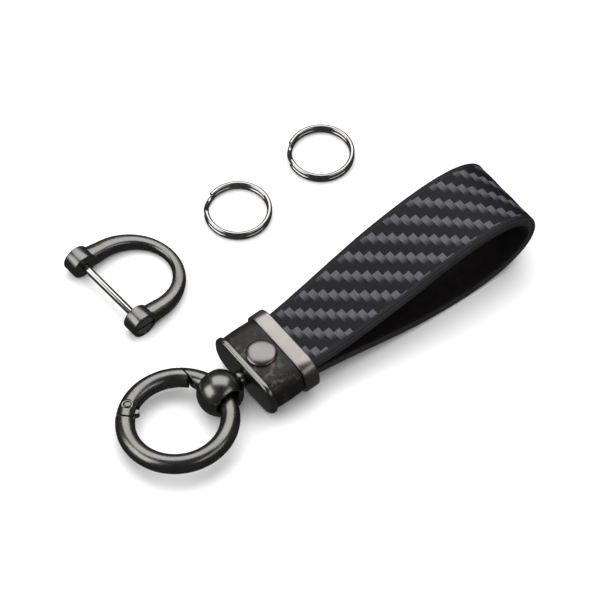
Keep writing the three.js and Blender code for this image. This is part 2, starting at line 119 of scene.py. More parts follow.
def easeEdges(bm, width, least=30, segments=2, where=None):
    sharp = [
        edge for edge in bm.edges
        if len(edge.link_faces) == 2 and edge.calc_face_angle(0) > radians(least)
        and (where is None or where(edge))
    ]
    bmesh.ops.bevel(
        bm, geom=sharp, offset=width, offset_type="OFFSET", affect="EDGES", segments=segments,
        profile=0.5, material=-1, clamp_overlap=True,
    )
    return bm


def addPiece(name, bm, place, body, nodes, materials, sharpFrom=32):
    bm.transform(place)
    mesh = bpy.data.meshes.new(name)
    bm.to_mesh(mesh)
    bm.free()
    mesh.shade_smooth()
    mesh.set_sharp_from_angle(angle=radians(sharpFrom))
    for material in materials:
        mesh.materials.append(material)
    piece = bpy.data.objects.new(name, mesh)
    bpy.context.scene.collection.objects.link(piece)
    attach(piece, body)
    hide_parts(*nodes)
    return piece


def turned(profile, axis="Z", steps=96, closed=False):
    # a turned solid from [radius, height] pairs
    bm = bmesh.new()
    along = {"X": Vector((1, 0, 0)), "Y": Vector((0, 1, 0)), "Z": Vector((0, 0, 1))}[axis]
    out = {"X": Vector((0, 0, 1)), "Y": Vector((1, 0, 0)), "Z": Vector((1, 0, 0))}[axis]
    verts = [bm.verts.new(out * radius + along * height) for radius, height in profile]
    pairs = list(zip(verts, verts[1:])) + ([(verts[-1], verts[0])] if closed else [])
    edges = [bm.edges.new(pair) for pair in pairs]
    bmesh.ops.spin(
        bm, geom=verts + edges, cent=(0, 0, 0), axis=along, dvec=(0, 0, 0), angle=2 * pi, steps=steps,
        use_merge=True, use_duplicate=False,
    )
    return closeUp(bm)


def rod(radius, start, end, axis="Z", centre=(0, 0, 0), steps=64):
    bm = turned([(0, start), (radius, start), (radius, end), (0, end)], axis, steps)
    bmesh.ops.translate(bm, vec=centre, verts=bm.verts)
    return bm


def prism(outline, bottom, top):
    bm = bmesh.new()
    face = bm.faces.new([bm.verts.new((x, y, bottom)) for x, y in outline])
    grown = bmesh.ops.extrude_face_region(bm, geom=[face], use_keep_orig=True)["geom"]
    raised = [part for part in grown if isinstance(part, bmesh.types.BMVert)]
    bmesh.ops.translate(bm, vec=(0, 0, top - bottom), verts=raised)
    return closeUp(bm)


def combined(base, *changes):
    # base shape with (operation, tool) changes, DIFFERENCE, UNION or INTERSECT
    made = []
    for bm in [base] + [tool for _, tool in changes]:
        mesh = bpy.data.meshes.new("work")
        bm.to_mesh(mesh)
        bm.free()
        made.append(bpy.data.objects.new("work", mesh))
        bpy.context.scene.collection.objects.link(made[-1])
    for (operation, _), tool in zip(changes, made[1:]):
        modifier = made[0].modifiers.new("join", "BOOLEAN")
        modifier.operation = operation
        modifier.solver = "EXACT"
        modifier.object = tool
    bpy.context.view_layer.update()
    shown = made[0].evaluated_get(bpy.context.evaluated_depsgraph_get())
    result = bmesh.new()
    result.from_mesh(shown.to_mesh())
    for work in made:
        mesh = work.data
        bpy.data.objects.remove(work)
        bpy.data.meshes.remove(mesh)
    bmesh.ops.remove_doubles(result, verts=result.verts, dist=0.002)
    bmesh.ops.dissolve_degenerate(result, edges=result.edges, dist=0.002)
    return result


def roundedOutline(bm, width, height, corner, x):
    # one loop of edges round a rectangle with round corners, across the strap at x
    corners = [(-1, -1), (1, -1), (1, 1), (-1, 1)]
    verts = [bm.verts.new((x, sy * width / 2, sz * height / 2)) for sy, sz in corners]
    face = bm.faces.new(verts)
    bmesh.ops.bevel(
        bm, geom=verts, offset=corner, offset_type="OFFSET", affect="VERTICES", segments=12,
        profile=0.5, material=-1, clamp_overlap=False,
    )
    face = next(f for f in bm.faces if abs(f.calc_center_median().x - x) < 1e-5 and f.tag is False)
    edges = list(face.edges)
    bmesh.ops.delete(bm, geom=[face], context="FACES_ONLY")
    return edges


def sleeve(sections, closed=True):
    # skin over rounded outlines of (x, width, height, corner); closed joins the last to the first
    bm = bmesh.new()
    loops = [roundedOutline(bm, width, height, corner, x) for x, width, height, corner in sections]
    pairs = list(zip(loops, loops[1:])) + ([(loops[-1], loops[0])] if closed else [])
    for first, second in pairs:
        bmesh.ops.bridge_loops(bm, edges=first + second)
    return closeUp(bm, 0.0002)


def toLinear(colour):
    channels = [int(colour[i:i + 2], 16) / 255 for i in (1, 3, 5)]
    return [c / 12.92 if c <= 0.04045 else ((c + 0.055) / 1.055) ** 2.4 for c in channels] + [1.0]


def addNode(tree, kind, settings=None, inputs=None, stops=None):
    # one node, its settings, its values or links, and a ramp's stops
    node = tree.nodes.new(kind)
    for name, value in (settings or {}).items():
        setattr(node, name, value)
    for key, value in (inputs or {}).items():
        if isinstance(value, bpy.types.NodeSocket):
            tree.links.new(value, node.inputs[key])
        else:
            node.inputs[key].default_value = value
    if stops:
        while len(node.color_ramp.elements) < len(stops):
            node.color_ramp.elements.new(0.5)
        for element, (position, colour) in zip(node.color_ramp.elements, stops):
            element.position = position
            element.color = toLinear(colour) if isinstance(colour, str) else (colour, colour, colour, 1)
    return node


def newMaterial(name):
    material = bpy.data.materials.new(name)
    material.use_nodes = True
    tree = material.node_tree
    return material, tree, tree.nodes["Principled BSDF"]


def millimetres(tree, scale=(1, 1, 1)):
    # object coordinates in millimetres, stretched by scale
    place = addNode(tree, "ShaderNodeTexCoord").outputs["Object"]
    return addNode(tree, "ShaderNodeMapping", None, {
        "Vector": place, "Scale": [s / mm for s in scale],
    }).outputs["Vector"]


def metalMaterial(name, base, roughness, smudge, brush=None, bump=0.02):
    # shared by the plated and bare metals: smudged gloss, faint tone drift and a brushed or cast surface
    material, tree, shader = newMaterial(name)
    place = millimetres(tree)
    drift = addNode(tree, "ShaderNodeTexNoise", None, {
        "Vector": place, "Scale": 0.11, "Detail": 3.0, "Roughness": 0.6,
    }).outputs["Fac"]
    tone = addNode(tree, "ShaderNodeValToRGB", None, {"Fac": drift}, [(0.3, base[0]), (0.7, base[1])])
    gloss = addNode(tree, "ShaderNodeTexNoise", None, {
        "Vector": place, "Scale": 0.45, "Detail": 5.0, "Roughness": 0.62,
    }).outputs["Fac"]
    rough = addNode(tree, "ShaderNodeMapRange", None, {
        "Value": gloss, "From Min": 0.3, "From Max": 0.7,
        "To Min": roughness - smudge, "To Max": roughness + smudge,
    }).outputs["Result"]
    stretched = millimetres(tree, brush) if brush else place
    fine = addNode(tree, "ShaderNodeTexNoise", None, {
        "Vector": stretched, "Scale": 2.2, "Detail": 4.0, "Roughness": 0.55,
    }).outputs["Fac"]
    relief = addNode(tree, "ShaderNodeBump", None, {
        "Strength": 1.0, "Distance": bump * mm, "Height": fine,
    }).outputs["Normal"]
    tree.links.new(tone.outputs["Color"], shader.inputs["Base Color"])
    tree.links.new(rough, shader.inputs["Roughness"])
    tree.links.new(relief, shader.inputs["Normal"])
    shader.inputs["Metallic"].default_value = 1.0
    return material


# black nickel plate on a polished zinc casting: dark mirror-like highlights with soft edges
blackNickelPlate = metalMaterial("blackNickelPlate", ("#757470", "#82817d"), 0.26, 0.03, None, 0.005)
# the same plate on a brushed stamping: broad pale highlights that run along the brushing
brushedGunmetal = metalMaterial(
    "brushedGunmetal", ("#8d8885", "#9b9693"), 0.33, 0.04, (3.2, 0.12, 3.2), 0.006)
# bright nickel on drawn steel wire: thin white lines beside nearly black ones
polishedNickelSteel = metalMaterial("polishedNickelSteel", ("#b0aeab", "#bebcb9"), 0.12, 0.02, None, 0.004)
# satin nickel, faintly warm: the rivet's soft pinkish grey
satinNickel = metalMaterial("satinNickel", ("#7d7677", "#878081"), 0.27, 0.02, None, 0.0008)
# hard-drawn spring steel: greyer and less polished
springSteel = metalMaterial("springSteel", ("#7f7c79", "#8b8885"), 0.28, 0.05, None, 0.01)


weave = {
    "tow": 2.15,  # width of one tow, mm
    "start": 2,  # tows by which the twill is stepped on
    "relief": 0.05,  # rounding of each tow
    "sink": 0.07,  # tows along the strap lie this much lower
    "margin": 1.5,  # smooth border at each edge
    "fade": 0.7,
    "repeat": 4,  # tows in one repeat of the twill
    "fixedTows": 4.5,  # on each side of the middle, before the border that follows the strap's width
    "fibre": 0.36,  # real fibres are finer than this; drawn coarse enough to show
    "fibreLong": 0.22,  # stretch along the fibres
    "grainShare": 0.35,
    "bump": 0.05,
    # painted sheen: crosswise tows are painted in the light tone, tows along the strap in the dark one
    "light": "#4e4d53",
    "dark": "#0f0e12",
    "plain": "#17161a",
    "paintedShadeTows": 1.4,  # tows of painted shade from the start of a crosswise tow until it is fully pale
}


def embossedLeather():
    # polyurethane-faced leather calendered with a two-by-two twill: tows across the strap are painted paler
    # than tows along it, a painted sheen in the base colour, and every tow has fine lines
    material, tree, shader = newMaterial("embossedWeaveLeather")
    flat = addNode(tree, "ShaderNodeUVMap", {"uv_map": "strapPlace"}).outputs["UV"]
    axes = addNode(tree, "ShaderNodeSeparateXYZ", None, {"Vector": flat})
    towsAlong = addNode(tree, "ShaderNodeMath", {"operation": "DIVIDE"}, {
        0: axes.outputs["X"], 1: weave["tow"],
    }).outputs[0]
    towsAcross = addNode(tree, "ShaderNodeMath", {"operation": "DIVIDE"}, {
        0: axes.outputs["Y"], 1: weave["tow"],
    }).outputs[0]
    along = addNode(tree, "ShaderNodeMath", {"operation": "FLOOR"}, {0: towsAlong}).outputs[0]
    across = addNode(tree, "ShaderNodeMath", {"operation": "FLOOR"}, {0: towsAcross}).outputs[0]
    steps = addNode(tree, "ShaderNodeMath", {"operation": "ADD"}, {0: along, 1: across}).outputs[0]
    step = addNode(tree, "ShaderNodeMath", {"operation": "ADD"}, {0: steps, 1: weave["start"]}).outputs[0]
    phase = addNode(tree, "ShaderNodeMath", {"operation": "FLOORED_MODULO"}, {
        0: step, 1: weave["repeat"],
    }).outputs[0]
    crosswise = addNode(tree, "ShaderNodeMath", {"operation": "LESS_THAN"}, {
        0: phase, 1: weave["repeat"] / 2,
    }).outputs[0]

    fibreScale = 1 / weave["fibre"]
    lines = []
    for stretch in ((fibreScale, weave["fibreLong"], 1.0), (weave["fibreLong"], fibreScale, 1.0)):
        moved = addNode(tree, "ShaderNodeMapping", None, {"Vector": flat, "Scale": stretch})
        lines.append(addNode(tree, "ShaderNodeTexNoise", None, {
            "Vector": moved.outputs["Vector"], "Scale": 1.0, "Detail": 2.0, "Roughness": 0.6,
        }).outputs["Fac"])
    fibres = addNode(tree, "ShaderNodeMix", {"data_type": "FLOAT"}, {
        "Factor": crosswise, 2: lines[1], 3: lines[0],
    }).outputs[0]
    grain = addNode(tree, "ShaderNodeTexNoise", None, {
        "Vector": flat, "Scale": 3.2, "Detail": 3.0, "Roughness": 0.6,
    }).outputs["Fac"]
    depth = addNode(tree, "ShaderNodeAttribute", {"attribute_name": "embossDepth"}).outputs["Fac"]

    toneCross = addNode(tree, "ShaderNodeMapRange", None, {
        "Value": fibres, "From Min": 0.3, "From Max": 0.7, "To Min": 0.72, "To Max": 1.22,
    }).outputs["Result"]
    # painted shade: each crosswise tow is painted dark at its start, where it comes up from under the last,
    # and pale from its middle on
    towPlace = addNode(tree, "ShaderNodeMath", {"operation": "FRACT"}, {0: towsAcross}).outputs[0]
    phaseNow = addNode(tree, "ShaderNodeMath", {"operation": "ADD"}, {0: phase, 1: towPlace}).outputs[0]
    paintedShadeLift = addNode(tree, "ShaderNodeMapRange", {"interpolation_type": "SMOOTHSTEP"}, {
        "Value": phaseNow, "From Min": 0.0, "From Max": weave["paintedShadeTows"], "To Min": 0.0, "To Max": 1.0,
    }).outputs["Result"]
    # painted sheen and shade: the light tone on crosswise tows, faded in after their painted-dark start
    paintedSheenAndShade = addNode(tree, "ShaderNodeMath", {"operation": "MULTIPLY"}, {0: crosswise, 1: paintedShadeLift}).outputs[0]
    picked = addNode(tree, "ShaderNodeMix", {"data_type": "RGBA"}, {
        "Factor": paintedSheenAndShade, 6: toLinear(weave["dark"]), 7: toLinear(weave["light"]),
    }).outputs[2]
    varied = addNode(tree, "ShaderNodeVectorMath", {"operation": "SCALE"}, {0: picked, "Scale": toneCross})
    colour = addNode(tree, "ShaderNodeMix", {"data_type": "RGBA"}, {
        "Factor": depth, 6: toLinear(weave["plain"]), 7: varied.outputs[0],
    }).outputs[2]
    rough = addNode(tree, "ShaderNodeMapRange", None, {
        "Value": grain, "From Min": 0.3, "From Max": 0.7, "To Min": 0.50, "To Max": 0.62,
    }).outputs["Result"]
    shownFibres = addNode(tree, "ShaderNodeMath", {"operation": "MULTIPLY"}, {
        0: fibres, 1: depth,
    }).outputs[0]
    height = addNode(tree, "ShaderNodeMath", {"operation": "MULTIPLY_ADD"}, {
        0: grain, 1: weave["grainShare"], 2: shownFibres,
    }).outputs[0]
    relief = addNode(tree, "ShaderNodeBump", None, {
        "Strength": 1.0, "Distance": weave["bump"] * mm, "Height": height,
    }).outputs["Normal"]
    tree.links.new(colour, shader.inputs["Base Color"])
    tree.links.new(rough, shader.inputs["Roughness"])
    tree.links.new(relief, shader.inputs["Normal"])
    shader.inputs["Specular IOR Level"].default_value = 0.22
    return material


def leatherMaterial(name, stops, roughness, grainSize, bump, patchSize=None):
    # shared by the plain leathers and edge paint: a tone that drifts, pebbled relief and uneven gloss
    material, tree, shader = newMaterial(name)
    place = millimetres(tree)
    pebbles = addNode(tree, "ShaderNodeTexVoronoi", {"feature": "SMOOTH_F1"}, {
        "Vector": place, "Scale": 1 / grainSize, "Smoothness": 0.6,
    }).outputs["Distance"]
    patches = addNode(tree, "ShaderNodeTexNoise", None, {
        "Vector": place, "Scale": 1 / (patchSize or grainSize * 8), "Detail": 4.0, "Roughness": 0.6,
        "Distortion": 0.6,
    }).outputs["Fac"]
    tone = addNode(tree, "ShaderNodeValToRGB", None, {"Fac": patches}, stops)
    rough = addNode(tree, "ShaderNodeMapRange", None, {
        "Value": patches, "From Min": 0.3, "From Max": 0.7,
        "To Min": roughness + 0.06, "To Max": roughness - 0.06,
    }).outputs["Result"]
    relief = addNode(tree, "ShaderNodeBump", {"invert": True}, {
        "Strength": 1.0, "Distance": bump * mm, "Height": pebbles,
    }).outputs["Normal"]
    tree.links.new(tone.outputs["Color"], shader.inputs["Base Color"])
    tree.links.new(rough, shader.inputs["Roughness"])
    tree.links.new(relief, shader.inputs["Normal"])
    return material, shader


strapLeather = embossedLeather()
# acrylic edge paint, rolled on and buffed: even dark grey with a soft sheen
edgePaint, edgeShader = leatherMaterial(
    "buffedEdgePaint", [(0.3, "#212022"), (0.7, "#2c2b2e")], 0.5, 0.7, 0.01)
edgeShader.inputs["Specular IOR Level"].default_value = 0.35
# fine microfibre lining: near black with a trace of dark red, no gloss
liningCloth, liningShader = leatherMaterial(
    "microfibreLining", [(0.3, "#080505"), (0.7, "#100808")], 0.85, 0.35, 0.02)
liningShader.inputs["Sheen Weight"].default_value = 0.03
liningShader.inputs["Sheen Roughness"].default_value = 0.5
# glazed goatskin: glossy black with pebbled grain and small grey scuffs
glazedTones = [(0.45, "#141311"), (0.57, "#1a1917"), (0.70, "#42403c")]
glazedGrainLeather, glazedShader = leatherMaterial(
    "glazedGrainLeather", glazedTones, 0.46, 0.9, 0.07, 3.0)
glazedShader.inputs["Specular IOR Level"].default_value = 0.3
print("materials made")


strap = {
    "clampLength": 16.7,
    "rootX": 3.9,  # where the leaves end inside the clamp
    "loopLength": 78.3,
    "loopRise": 30.3,
    "loopShape": 1.558,
    "foldLift": 1.28,
    "leafThickness": 3.2,
    "leafCentre": 1.7,
    "halfWidth": 12.95,
    "taper": 2.05,  # narrower by this on each side at the clamp
    "taperEnds": 0.5,
    "edgeRound": 1.1,
    "faceInner": 0.578,  # layer boundaries, outwards from the middle of the leaf
    "liningInner": -0.674,
    "creaseDepth": 0.06,  # creased line just inside the painted edge
    "creaseFromEdge": 1.4,
    "creaseHalf": 0.28,
    "paintedFacing": 0.45,  # how far a side faces outward, squared, to be painted edge
    "plainSpacing": 0.7,  # along the layers with no weave
    "rivetAt": 6.8,
    "rivetHole": 2.1,
    "columnsPerTow": 8,
}


def strapPath():
    # middle of the leaf: lower root, out to the fold and back to the upper root, as (x, z)
    rootLength = strap["clampLength"] - strap["rootX"]
    half = [(strap["rootX"] + rootLength * k / 60, strap["leafCentre"], 0) for k in range(60)]
    count = 900
    for k in range(count + 1):
        u = k / count * pi / 2
        x = strap["clampLength"] + strap["loopLength"] * sin(u) ** 2
        z = (strap["loopRise"] * sin(u) ** (2 * strap["loopShape"]) + strap["leafCentre"]) * cos(u)
        half.append((x, z, strap["foldLift"] * sin(u) ** 6))
    upper = [(x, lift + z) for x, z, lift in half]
    return [(x, lift - z) for x, z, lift in half[:-1]] + upper[::-1]


def pathStations(offset, spacing):
    # evenly spaced along the surface at that offset: (x, z, normal x, normal z, run)
    path = strapPath()
    points = []
    for k, (x, z) in enumerate(path):
        ax, az = path[max(k - 1, 0)]
        bx, bz = path[min(k + 1, len(path) - 1)]
        length = sqrt((bx - ax) ** 2 + (bz - az) ** 2)
        points.append((x, z, (bz - az) / length, -(bx - ax) / length))
    reach = [0.0]
    for (x0, z0, nx0, nz0), (x1, z1, nx1, nz1) in zip(points, points[1:]):
        dx = x1 + nx1 * offset - x0 - nx0 * offset
        dz = z1 + nz1 * offset - z0 - nz0 * offset
        reach.append(reach[-1] + sqrt(dx * dx + dz * dz))
    count = round(reach[-1] / spacing)
    stations, k = [], 0
    for i in range(count + 1):
        run = reach[-1] * i / count
        while k < len(reach) - 2 and reach[k + 1] < run:
            k += 1
        f = (run - reach[k]) / (reach[k + 1] - reach[k])
        mixed = [a + (b - a) * f for a, b in zip(points[k], points[k + 1])]
        stations.append(mixed + [reach[-1] - run])
    return stations


def rivetBore():
    # a cutter for the hole that the rivet goes through
    return rod(strap["rivetHole"], -throughAll, throughAll, "Z", (strap["rivetAt"], 0, 0))


def halfWidthAt(x):
    t = min(max((x - strap["clampLength"]) / strap["loopLength"], 0), 1)
    return strap["halfWidth"] - strap["taper"] * max(1 - t / strap["taperEnds"], 0) ** 1.5


def weaveSink(run, y):
    # how far the surface lies below the highest tows, mm
    i, j = floor(run / weave["tow"]), floor(y / weave["tow"])
    u, v = run / weave["tow"] - i, y / weave["tow"] - j
    phase = (i + j + weave["start"]) % weave["repeat"]
    if phase < weave["repeat"] / 2:  # across the strap: lapped like shingles, higher towards the clamp
        across, along = u, (phase + v) / 2
        lap = 0.6 * across
        return weave["relief"] * (lap + abs(2 * along - 1) ** 7)
    across, along = v, (phase - 2 + u) / 2
    return weave["sink"] + weave["relief"] * (abs(2 * across - 1) ** 3 + abs(2 * along - 1) ** 7)


def smooth(value):
    value = min(max(value, 0), 1)
    return value * value * (3 - 2 * value)


def edgeSection(inner, outer, steps):
    # the side of a layer as (inset from the edge, offset), from inner to outer
    limit = strap["leafThickness"] / 2
    straight = limit - strap["edgeRound"]
    start = asin(min(max((abs(inner) - straight) / strap["edgeRound"], 0), 1))
    sign = 1 if outer > inner else -1
    side = []
    for k in range(steps + 1):
        a = start + (pi / 2 - start) * k / steps
        side.append((strap["edgeRound"] * (1 - cos(a)), sign * (straight + strap["edgeRound"] * sin(a))))
    return side


def strapLayer(section, stations, shape):
    # closed skin: section is a list of (column, offset) round the layer, shape places each one
    bm = bmesh.new()
    rows, columns = len(stations) - 1, len(section)
    bmesh.ops.create_grid(bm, x_segments=rows, y_segments=columns, size=0.5)
    uvLayer = bm.loops.layers.uv.new("strapPlace")
    depthLayer = bm.verts.layers.float.new("embossDepth")
    flat = {}
    for vert in bm.verts:
        i, j = round((vert.co.x + 0.5) * rows), round((vert.co.y + 0.5) * columns)
        x, z, nx, nz, run = stations[i]
        y, offset, depth = shape(section[j % columns], x, run)
        vert.co = (x + nx * offset, y, z + nz * offset)
        vert[depthLayer] = depth
        flat[vert] = (run, y)
    for face in bm.faces:
        for loop in face.loops:
            loop[uvLayer].uv = flat[loop.vert]
    return closeUp(bm, 0.0004)


def faceColumns():
    # across the top: columns that follow the tows, then the border up to the rounded edge
    tow = weave["tow"] / strap["columnsPerTow"]
    fixedHalf = weave["fixedTows"] * weave["tow"]
    fixed = [-fixedHalf + tow * k for k in range(round(2 * fixedHalf / tow) + 1)]
    border = [k / 8 for k in range(8, 0, -1)]
    return [("border", -1, f) for f in border] + [("fixed", 0, y) for y in fixed] + [
        ("border", 1, f) for f in border[::-1]]


def topPlace(column, x):
    kind, sign, value = column
    if kind == "fixed":
        return value
    fixedHalf = weave["fixedTows"] * weave["tow"]
    flatHalf = halfWidthAt(x) - strap["edgeRound"]
    return sign * (fixedHalf + (flatHalf - fixedHalf) * value)


def makeStrap():
    limit = strap["leafThickness"] / 2
    spacing = weave["tow"] / strap["columnsPerTow"]
    columns = faceColumns()
    side = edgeSection(strap["faceInner"], limit, 7)
    inside = [0.75, 0.25, -0.25, -0.75]
    section = [("side", -1, inset, offset) for inset, offset in side[:-1]]
    section += [("top", column) for column in columns]
    section += [("side", 1, inset, offset) for inset, offset in side[:-1][::-1]]
    section += [("inside", share) for share in inside]

    def faceShape(part, x, run):
        half = halfWidthAt(x)
        if part[0] == "side":
            return part[1] * (half - part[2]), part[3], 0.0
        if part[0] == "inside":
            return part[1] * half, strap["faceInner"], 0.0
        y = topPlace(part[1], x)
        fromEdge = half - abs(y)
        depth = smooth((fromEdge - weave["margin"]) / weave["fade"])
        fromCrease = abs(fromEdge - strap["creaseFromEdge"]) / strap["creaseHalf"]
        crease = strap["creaseDepth"] * max(1 - fromCrease, 0)
        sunk = depth * weaveSink(run, y)
        return y, limit - sunk - crease, depth

    def plainShape(part, x, run):
        half = halfWidthAt(x)
        return part[0] * (half - part[1]) if part[2] == "side" else part[0] * half, part[3], 0.0

    bm = strapLayer(section, pathStations(limit, spacing), faceShape)
    for face in bm.faces:  # painted side, not leather
        y = max(abs(vert.co.y) for vert in face.verts)
        low = min(abs(vert.co.y) for vert in face.verts)
        if face.normal.y ** 2 > strap["paintedFacing"] and low > y - 1.5:
            face.material_index = 1
    bm = combined(bm, ("DIFFERENCE", rivetBore()))
    addPiece("strapFace", bm, strapFrame, "strap", ["strap_face_leather"],
             [strapLeather, edgePaint], 60)

    corners = [(-1, "liningInner"), (-1, "faceInner"), (1, "faceInner"), (1, "liningInner")]
    flatSection = [(sign, 0.0, "side", strap[layer]) for sign, layer in corners]
    bm = strapLayer(flatSection, pathStations(0, strap["plainSpacing"]), plainShape)
    bm = combined(bm, ("DIFFERENCE", rivetBore()))
    addPiece("strapCore", bm, strapFrame, "strap", ["strap_core"], [edgePaint])

    side = edgeSection(strap["liningInner"], -limit, 7)
    flatShares = [0.9 - 0.1 * k for k in range(19)]
    lining = [(-1, inset, "side", offset) for inset, offset in side]
    lining += [(-share, 0.0, "flat", -limit) for share in flatShares]
    lining += [(1, inset, "side", offset) for inset, offset in side[::-1]]
    bm = strapLayer(lining, pathStations(-limit, strap["plainSpacing"]), plainShape)
    for face in bm.faces:
        if face.normal.y ** 2 > strap["paintedFacing"]:
            face.material_index = 1
    bm = combined(bm, ("DIFFERENCE", rivetBore()))
    addPiece("strapLining", bm, strapFrame, "strap", ["strap_lining"],
             [liningCloth, edgePaint])


makeStrap()
print("strap made")


clamp = {
    "width": 27.6,
    "height": 12.5,
    "corner": 5.375,
    "plate": 1.8,
    "frontEase": 0.95,
    "backEase": 0.3,
    "tube": (24.8, 9.3, 4.0),
    "cavity": (22.4, 6.9, 1.2),
    "tubeEnd": 16.2,
    "tubeEase": 0.2,
    "sunk": 0.3,  # the sleeve starts this deep inside the plate
    "stemHole": 2.05,
    "wrap": (26.7, 11.7, 5.25),
    "wrapFrom": 1.88,
    "wrapTo": 11.92,
    "wrapInside": (24.96, 9.46, 4.08),
    "wrapRows": 14,
    "tuck": 0.3,  # the wrap's edges roll under the metal by this
    "band": (28.2, 12.1, 5.375),
    "bandFrom": 12.0,
    "bandTo": 16.7,
    "bandEase": 0.42,
}


def onRim(xs, tolerance=0.02):
    # edges that lie in one of the planes x
    return lambda edge: any(all(abs(v.co.x - x) < tolerance for v in edge.verts) for x in xs)


def makeClamp():
    plate = sleeve([(0, clamp["width"], clamp["height"], clamp["corner"]),
                    (clamp["plate"], clamp["width"], clamp["height"], clamp["corner"])], closed=False)
    easeEdges(plate, clamp["frontEase"], 60, 6, onRim((0,)))
    easeEdges(plate, clamp["backEase"], 60, 3, onRim((clamp["plate"],)))
    tubeFrom = clamp["plate"] - clamp["sunk"]
    tube = sleeve([(tubeFrom, *clamp["tube"]), (clamp["tubeEnd"], *clamp["tube"]),
                   (clamp["tubeEnd"], *clamp["cavity"]), (tubeFrom, *clamp["cavity"])])
    easeEdges(tube, clamp["tubeEase"], 60, 2, onRim((clamp["tubeEnd"],)))
    cap = combined(plate, ("UNION", tube), ("DIFFERENCE", rod(clamp["stemHole"], -1, 3, "X")),
                   ("DIFFERENCE", rivetBore()))
    addPiece("endCap", cap, strapFrame, "strap", ["end_cap"], [blackNickelPlate])

    width, height, corner = clamp["wrap"]
    skin = []
    for k in range(clamp["wrapRows"] + 1):
        t = k / clamp["wrapRows"]
        tuck = clamp["tuck"] * (1 - sqrt(max(sin(pi * t), 0)))
        x = clamp["wrapFrom"] + (clamp["wrapTo"] - clamp["wrapFrom"]) * t
        skin.append((x, width - 2 * tuck, height - 2 * tuck, corner - tuck))
    wrap = sleeve(skin + [(x, *clamp["wrapInside"]) for x in (clamp["wrapTo"], clamp["wrapFrom"])])
    wrap = combined(wrap, ("DIFFERENCE", rivetBore()))
    addPiece("clampWrap", wrap, strapFrame, "strap", ["clamp_wrap"],
             [glazedGrainLeather])

    def outside(co):
        # on the band's outer wall, not its bore: past a middle outline of the same shape
        width, height, corner = [(a + b) / 2 for a, b in zip(clamp["band"], clamp["wrapInside"])]
        past = Vector((max(abs(co.y) - width / 2 + corner, 0), max(abs(co.z) - height / 2 + corner, 0)))
        return past.length > corner

    band = sleeve([(clamp["bandFrom"], *clamp["band"]), (clamp["bandTo"], *clamp["band"]),
                   (clamp["bandTo"], *clamp["wrapInside"]), (clamp["bandFrom"], *clamp["wrapInside"])])
    ends = onRim((clamp["bandFrom"], clamp["bandTo"]))
    easeEdges(band, clamp["bandEase"], 60, 4, lambda edge: ends(edge) and outside(edge.verts[0].co))
    addPiece("keeperBand", band, strapFrame, "strap", ["keeper_band"], [brushedGunmetal])


rivet = {
    "radius": 4.5,
    "post": 1.9,
    "postBelow": 0.45,  # the shank reaches this far into the back cap
    "seat": 5.91,
    "ease": 0.18,
    "easeRise": 0.16,
    "edge": 0.3,
    "dome": 1.0,
    "domeSteps": 14,
    "backRadius": 4.185,
    # the back cap's edge as shares of its radius and depths below its seat
    "backEdge": [(0.84, 0.9), (0.93, 0.84), (0.98, 0.70), (1, 0.5), (1, 0)],
    "backHole": 2.1,
    "backHoleDepth": 0.6,
}


def makeRivet():
    seat, radius = rivet["seat"], rivet["radius"]
    angles = [pi / 2 * k / rivet["domeSteps"] for k in range(rivet["domeSteps"] + 1)]
    dome = [(radius * cos(a), seat + rivet["edge"] + rivet["dome"] * sin(a)) for a in angles]
    end = -seat - rivet["postBelow"]
    profile = [(0, end), (rivet["post"], end), (rivet["post"], seat), (radius - rivet["ease"], seat),
               (radius, seat + rivet["easeRise"])] + dome
    bm = turned(profile, "Z", 96)
    bmesh.ops.translate(bm, vec=(strap["rivetAt"], 0, 0), verts=bm.verts)
    addPiece("rivetPost", bm, strapFrame, "strap", ["rivet_post"], [satinNickel], 40)

    edge = [(rivet["backRadius"] * share, -seat - depth) for share, depth in rivet["backEdge"]]
    bottom = -seat - rivet["backHoleDepth"]
    hole = [(rivet["backHole"], -seat), (rivet["backHole"], bottom), (0, bottom)]
    bm = turned([(0, edge[0][1])] + edge + hole, "Z", 96)
    bmesh.ops.translate(bm, vec=(strap["rivetAt"], 0, 0), verts=bm.verts)
    addPiece("rivetBackCap", bm, strapFrame, "strap", ["rivet_back_cap"],
             [satinNickel], 40)


makeClamp()
makeRivet()
print("clamp and rivet made")


bead = {
    "place": -8.2,  # ball centre along the strap's axis
    "radius": 6.8,
    "half": 4.692,  # half its length along the bore
    "rimLand": 0.42,
    "boreClear": 0.25,
    "flareFrom": 0.6,
    "ease": 0.12,
    "stem": 1.85,
    "stemTip": -4.41,
    "stemClear": 0.1,  # stem in the ball
    "collar": 2.65,
    "collarClear": 0.15,  # collar on the stem
    "collarGap": 0.08,  # collar to the ball
    "collarEnds": (-0.35, -0.2),  # at its rim and at the stem, before the cap's face
    "collarEase": 0.14,
    "headGap": 0.62,  # from the cap's inside to the stem's head, where the washer goes
    "head": 3.0,
    "headDepth": 0.98,
    "headEase": 0.3,
}


def boreAt(y):
    return ring["wire"] + bead["boreClear"] + ring["radius"] - sqrt(ring["radius"] ** 2 - y ** 2)


